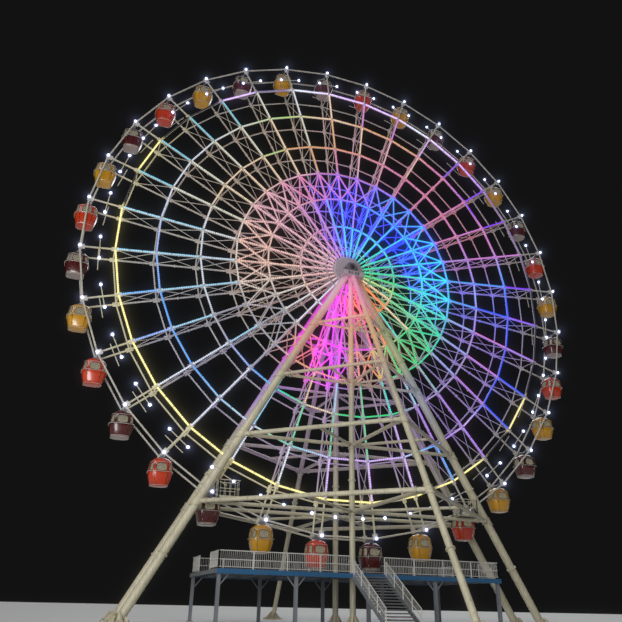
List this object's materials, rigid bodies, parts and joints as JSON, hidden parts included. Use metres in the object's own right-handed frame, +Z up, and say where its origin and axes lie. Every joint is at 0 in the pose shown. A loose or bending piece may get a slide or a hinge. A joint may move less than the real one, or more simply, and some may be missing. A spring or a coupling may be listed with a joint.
{
  "type": "ferris wheel scale model at 1:2",
  "caption": "Giant ferris wheel at half size: two lattice faces on a shaft, hanging cabins that stay level, braced tubular legs with level frames, and a boarding deck.",
  "frame": {"origin": "on the ground, straight under the middle of the wheel", "axes": "+Z up, +Y from the lit front face towards the plain rear face, +X to the right seen from the front"},
  "size_m": [22.754, 17.8066, 24.857],
  "materials": {
    "lattice_paint": "semi-gloss off-white paint, a little weathered",
    "leg_paint": "semi-gloss cream paint with rain streaks",
    "hub_paint": "grey machine paint, satin",
    "cabin_red": "glossy orange-red fibreglass",
    "cabin_dark": "glossy dark maroon fibreglass",
    "cabin_yellow": "glossy yellow fibreglass",
    "cabin_glass": "clear window sheet",
    "cabin_trim": "satin light grey trim",
    "seat_vinyl": "dark seat vinyl",
    "deck_paint": "grey chequered steel, worn",
    "railing_paint": "white gloss paint",
    "light_strip": "lit strip diffuser in changing colours",
    "point_lamp": "small white lit lamp dome",
    "bolt_steel": "galvanized steel"
  },
  "bodies": {
    "supports": {"front_left_leg": "leg_paint", "front_right_leg": "leg_paint", "front_pillar": "leg_paint", "front_outrigger": "leg_paint", "rear_left_leg": "leg_paint", "rear_right_leg": "leg_paint", "rear_pillar": "leg_paint", "rear_outrigger": "leg_paint", "front_bearing": "hub_paint", "rear_bearing": "hub_paint", "front_top_frame": "leg_paint", "front_upper_frame": "leg_paint", "front_middle_frame": "leg_paint", "front_lower_frame": "leg_paint", "rear_top_frame": "leg_paint", "rear_upper_frame": "leg_paint", "rear_middle_frame": "leg_paint", "rear_lower_frame": "leg_paint", "boarding_deck": "deck_paint", "front_left_railing": "railing_paint", "front_right_railing": "railing_paint", "rear_railing": "railing_paint", "boarding_stair": "deck_paint", "left_service_platform": "deck_paint", "right_service_platform": "deck_paint"},
    "wheel": {"hub_shaft": "hub_paint", "front_lattice": "lattice_paint", "rear_lattice": "lattice_paint"},
    "cabin_01": {"cabin_01": "cabin_yellow"},
    "cabin_02": {"cabin_02": "cabin_red"},
    "cabin_03": {"cabin_03": "cabin_dark"},
    "cabin_04": {"cabin_04": "cabin_yellow"},
    "cabin_05": {"cabin_05": "cabin_red"},
    "cabin_06": {"cabin_06": "cabin_dark"},
    "cabin_07": {"cabin_07": "cabin_yellow"},
    "cabin_08": {"cabin_08": "cabin_red"},
    "cabin_09": {"cabin_09": "cabin_dark"},
    "cabin_10": {"cabin_10": "cabin_yellow"},
    "cabin_11": {"cabin_11": "cabin_dark"},
    "cabin_12": {"cabin_12": "cabin_yellow"},
    "cabin_13": {"cabin_13": "cabin_red"},
    "cabin_14": {"cabin_14": "cabin_dark"},
    "cabin_15": {"cabin_15": "cabin_yellow"},
    "cabin_16": {"cabin_16": "cabin_red"},
    "cabin_17": {"cabin_17": "cabin_dark"},
    "cabin_18": {"cabin_18": "cabin_yellow"},
    "cabin_19": {"cabin_19": "cabin_red"},
    "cabin_20": {"cabin_20": "cabin_dark"},
    "cabin_21": {"cabin_21": "cabin_red"},
    "cabin_22": {"cabin_22": "cabin_dark"},
    "cabin_23": {"cabin_23": "cabin_yellow"},
    "cabin_24": {"cabin_24": "cabin_red"},
    "cabin_25": {"cabin_25": "cabin_dark"},
    "cabin_26": {"cabin_26": "cabin_yellow"},
    "cabin_27": {"cabin_27": "cabin_red"},
    "cabin_28": {"cabin_28": "cabin_yellow"},
    "cabin_29": {"cabin_29": "cabin_dark"},
    "cabin_30": {"cabin_30": "cabin_yellow"},
    "cabin_31": {"cabin_31": "cabin_red"},
    "cabin_32": {"cabin_32": "cabin_dark"}
  },
  "joints": [
    {"name": "wheel_spin", "type": "hinge", "parent": "supports", "child": "wheel", "pos_m": [0, 0, 13.85], "axis": [0, 1, 0], "continuous": true},
    {"name": "cabin_01_swing", "type": "hinge", "parent": "wheel", "child": "cabin_01", "pos_m": [10.94703, 0, 14.92819], "axis": [0, 1, 0], "continuous": true},
    {"name": "cabin_02_swing", "type": "hinge", "parent": "wheel", "child": "cabin_02", "pos_m": [10.52634, 0, 17.04313], "axis": [0, 1, 0], "continuous": true},
    {"name": "cabin_03_swing", "type": "hinge", "parent": "wheel", "child": "cabin_03", "pos_m": [9.70113, 0, 19.03536], "axis": [0, 1, 0], "continuous": true},
    {"name": "cabin_04_swing", "type": "hinge", "parent": "wheel", "child": "cabin_04", "pos_m": [8.50311, 0, 20.82833], "axis": [0, 1, 0], "continuous": true},
    {"name": "cabin_05_swing", "type": "hinge", "parent": "wheel", "child": "cabin_05", "pos_m": [6.97833, 0, 22.35311], "axis": [0, 1, 0], "continuous": true},
    {"name": "cabin_06_swing", "type": "hinge", "parent": "wheel", "child": "cabin_06", "pos_m": [5.18536, 0, 23.55113], "axis": [0, 1, 0], "continuous": true},
    {"name": "cabin_07_swing", "type": "hinge", "parent": "wheel", "child": "cabin_07", "pos_m": [3.19313, 0, 24.37634], "axis": [0, 1, 0], "continuous": true},
    {"name": "cabin_08_swing", "type": "hinge", "parent": "wheel", "child": "cabin_08", "pos_m": [1.07819, 0, 24.79703], "axis": [0, 1, 0], "continuous": true},
    {"name": "cabin_09_swing", "type": "hinge", "parent": "wheel", "child": "cabin_09", "pos_m": [-1.07819, 0, 24.79703], "axis": [0, 1, 0], "continuous": true},
    {"name": "cabin_10_swing", "type": "hinge", "parent": "wheel", "child": "cabin_10", "pos_m": [-3.19313, 0, 24.37634], "axis": [0, 1, 0], "continuous": true},
    {"name": "cabin_11_swing", "type": "hinge", "parent": "wheel", "child": "cabin_11", "pos_m": [-5.18536, 0, 23.55113], "axis": [0, 1, 0], "continuous": true},
    {"name": "cabin_12_swing", "type": "hinge", "parent": "wheel", "child": "cabin_12", "pos_m": [-6.97833, 0, 22.35311], "axis": [0, 1, 0], "continuous": true},
    {"name": "cabin_13_swing", "type": "hinge", "parent": "wheel", "child": "cabin_13", "pos_m": [-8.50311, 0, 20.82833], "axis": [0, 1, 0], "continuous": true},
    {"name": "cabin_14_swing", "type": "hinge", "parent": "wheel", "child": "cabin_14", "pos_m": [-9.70113, 0, 19.03536], "axis": [0, 1, 0], "continuous": true},
    {"name": "cabin_15_swing", "type": "hinge", "parent": "wheel", "child": "cabin_15", "pos_m": [-10.52634, 0, 17.04313], "axis": [0, 1, 0], "continuous": true},
    {"name": "cabin_16_swing", "type": "hinge", "parent": "wheel", "child": "cabin_16", "pos_m": [-10.94703, 0, 14.92819], "axis": [0, 1, 0], "continuous": true},
    {"name": "cabin_17_swing", "type": "hinge", "parent": "wheel", "child": "cabin_17", "pos_m": [-10.94703, 0, 12.77181], "axis": [0, 1, 0], "continuous": true},
    {"name": "cabin_18_swing", "type": "hinge", "parent": "wheel", "child": "cabin_18", "pos_m": [-10.52634, 0, 10.65687], "axis": [0, 1, 0], "continuous": true},
    {"name": "cabin_19_swing", "type": "hinge", "parent": "wheel", "child": "cabin_19", "pos_m": [-9.70113, 0, 8.66464], "axis": [0, 1, 0], "continuous": true},
    {"name": "cabin_20_swing", "type": "hinge", "parent": "wheel", "child": "cabin_20", "pos_m": [-8.50311, 0, 6.87167], "axis": [0, 1, 0], "continuous": true},
    {"name": "cabin_21_swing", "type": "hinge", "parent": "wheel", "child": "cabin_21", "pos_m": [-6.97833, 0, 5.34689], "axis": [0, 1, 0], "continuous": true},
    {"name": "cabin_22_swing", "type": "hinge", "parent": "wheel", "child": "cabin_22", "pos_m": [-5.18536, 0, 4.14887], "axis": [0, 1, 0], "continuous": true},
    {"name": "cabin_23_swing", "type": "hinge", "parent": "wheel", "child": "cabin_23", "pos_m": [-3.19313, 0, 3.32366], "axis": [0, 1, 0], "continuous": true},
    {"name": "cabin_24_swing", "type": "hinge", "parent": "wheel", "child": "cabin_24", "pos_m": [-1.07819, 0, 2.90297], "axis": [0, 1, 0], "continuous": true},
    {"name": "cabin_25_swing", "type": "hinge", "parent": "wheel", "child": "cabin_25", "pos_m": [1.07819, 0, 2.90297], "axis": [0, 1, 0], "continuous": true},
    {"name": "cabin_26_swing", "type": "hinge", "parent": "wheel", "child": "cabin_26", "pos_m": [3.19313, 0, 3.32366], "axis": [0, 1, 0], "continuous": true},
    {"name": "cabin_27_swing", "type": "hinge", "parent": "wheel", "child": "cabin_27", "pos_m": [5.18536, 0, 4.14887], "axis": [0, 1, 0], "continuous": true},
    {"name": "cabin_28_swing", "type": "hinge", "parent": "wheel", "child": "cabin_28", "pos_m": [6.97833, 0, 5.34689], "axis": [0, 1, 0], "continuous": true},
    {"name": "cabin_29_swing", "type": "hinge", "parent": "wheel", "child": "cabin_29", "pos_m": [8.50311, 0, 6.87167], "axis": [0, 1, 0], "continuous": true},
    {"name": "cabin_30_swing", "type": "hinge", "parent": "wheel", "child": "cabin_30", "pos_m": [9.70113, 0, 8.66464], "axis": [0, 1, 0], "continuous": true},
    {"name": "cabin_31_swing", "type": "hinge", "parent": "wheel", "child": "cabin_31", "pos_m": [10.52634, 0, 10.65687], "axis": [0, 1, 0], "continuous": true},
    {"name": "cabin_32_swing", "type": "hinge", "parent": "wheel", "child": "cabin_32", "pos_m": [10.94703, 0, 12.77181], "axis": [0, 1, 0], "continuous": true}
  ],
  "couplings": [
    {"joint": "cabin_01_swing", "follows": "wheel_spin", "ratio": -1},
    {"joint": "cabin_02_swing", "follows": "wheel_spin", "ratio": -1},
    {"joint": "cabin_03_swing", "follows": "wheel_spin", "ratio": -1},
    {"joint": "cabin_04_swing", "follows": "wheel_spin", "ratio": -1},
    {"joint": "cabin_05_swing", "follows": "wheel_spin", "ratio": -1},
    {"joint": "cabin_06_swing", "follows": "wheel_spin", "ratio": -1},
    {"joint": "cabin_07_swing", "follows": "wheel_spin", "ratio": -1},
    {"joint": "cabin_08_swing", "follows": "wheel_spin", "ratio": -1},
    {"joint": "cabin_09_swing", "follows": "wheel_spin", "ratio": -1},
    {"joint": "cabin_10_swing", "follows": "wheel_spin", "ratio": -1},
    {"joint": "cabin_11_swing", "follows": "wheel_spin", "ratio": -1},
    {"joint": "cabin_12_swing", "follows": "wheel_spin", "ratio": -1},
    {"joint": "cabin_13_swing", "follows": "wheel_spin", "ratio": -1},
    {"joint": "cabin_14_swing", "follows": "wheel_spin", "ratio": -1},
    {"joint": "cabin_15_swing", "follows": "wheel_spin", "ratio": -1},
    {"joint": "cabin_16_swing", "follows": "wheel_spin", "ratio": -1},
    {"joint": "cabin_17_swing", "follows": "wheel_spin", "ratio": -1},
    {"joint": "cabin_18_swing", "follows": "wheel_spin", "ratio": -1},
    {"joint": "cabin_19_swing", "follows": "wheel_spin", "ratio": -1},
    {"joint": "cabin_20_swing", "follows": "wheel_spin", "ratio": -1},
    {"joint": "cabin_21_swing", "follows": "wheel_spin", "ratio": -1},
    {"joint": "cabin_22_swing", "follows": "wheel_spin", "ratio": -1},
    {"joint": "cabin_23_swing", "follows": "wheel_spin", "ratio": -1},
    {"joint": "cabin_24_swing", "follows": "wheel_spin", "ratio": -1},
    {"joint": "cabin_25_swing", "follows": "wheel_spin", "ratio": -1},
    {"joint": "cabin_26_swing", "follows": "wheel_spin", "ratio": -1},
    {"joint": "cabin_27_swing", "follows": "wheel_spin", "ratio": -1},
    {"joint": "cabin_28_swing", "follows": "wheel_spin", "ratio": -1},
    {"joint": "cabin_29_swing", "follows": "wheel_spin", "ratio": -1},
    {"joint": "cabin_30_swing", "follows": "wheel_spin", "ratio": -1},
    {"joint": "cabin_31_swing", "follows": "wheel_spin", "ratio": -1},
    {"joint": "cabin_32_swing", "follows": "wheel_spin", "ratio": -1}
  ]
}
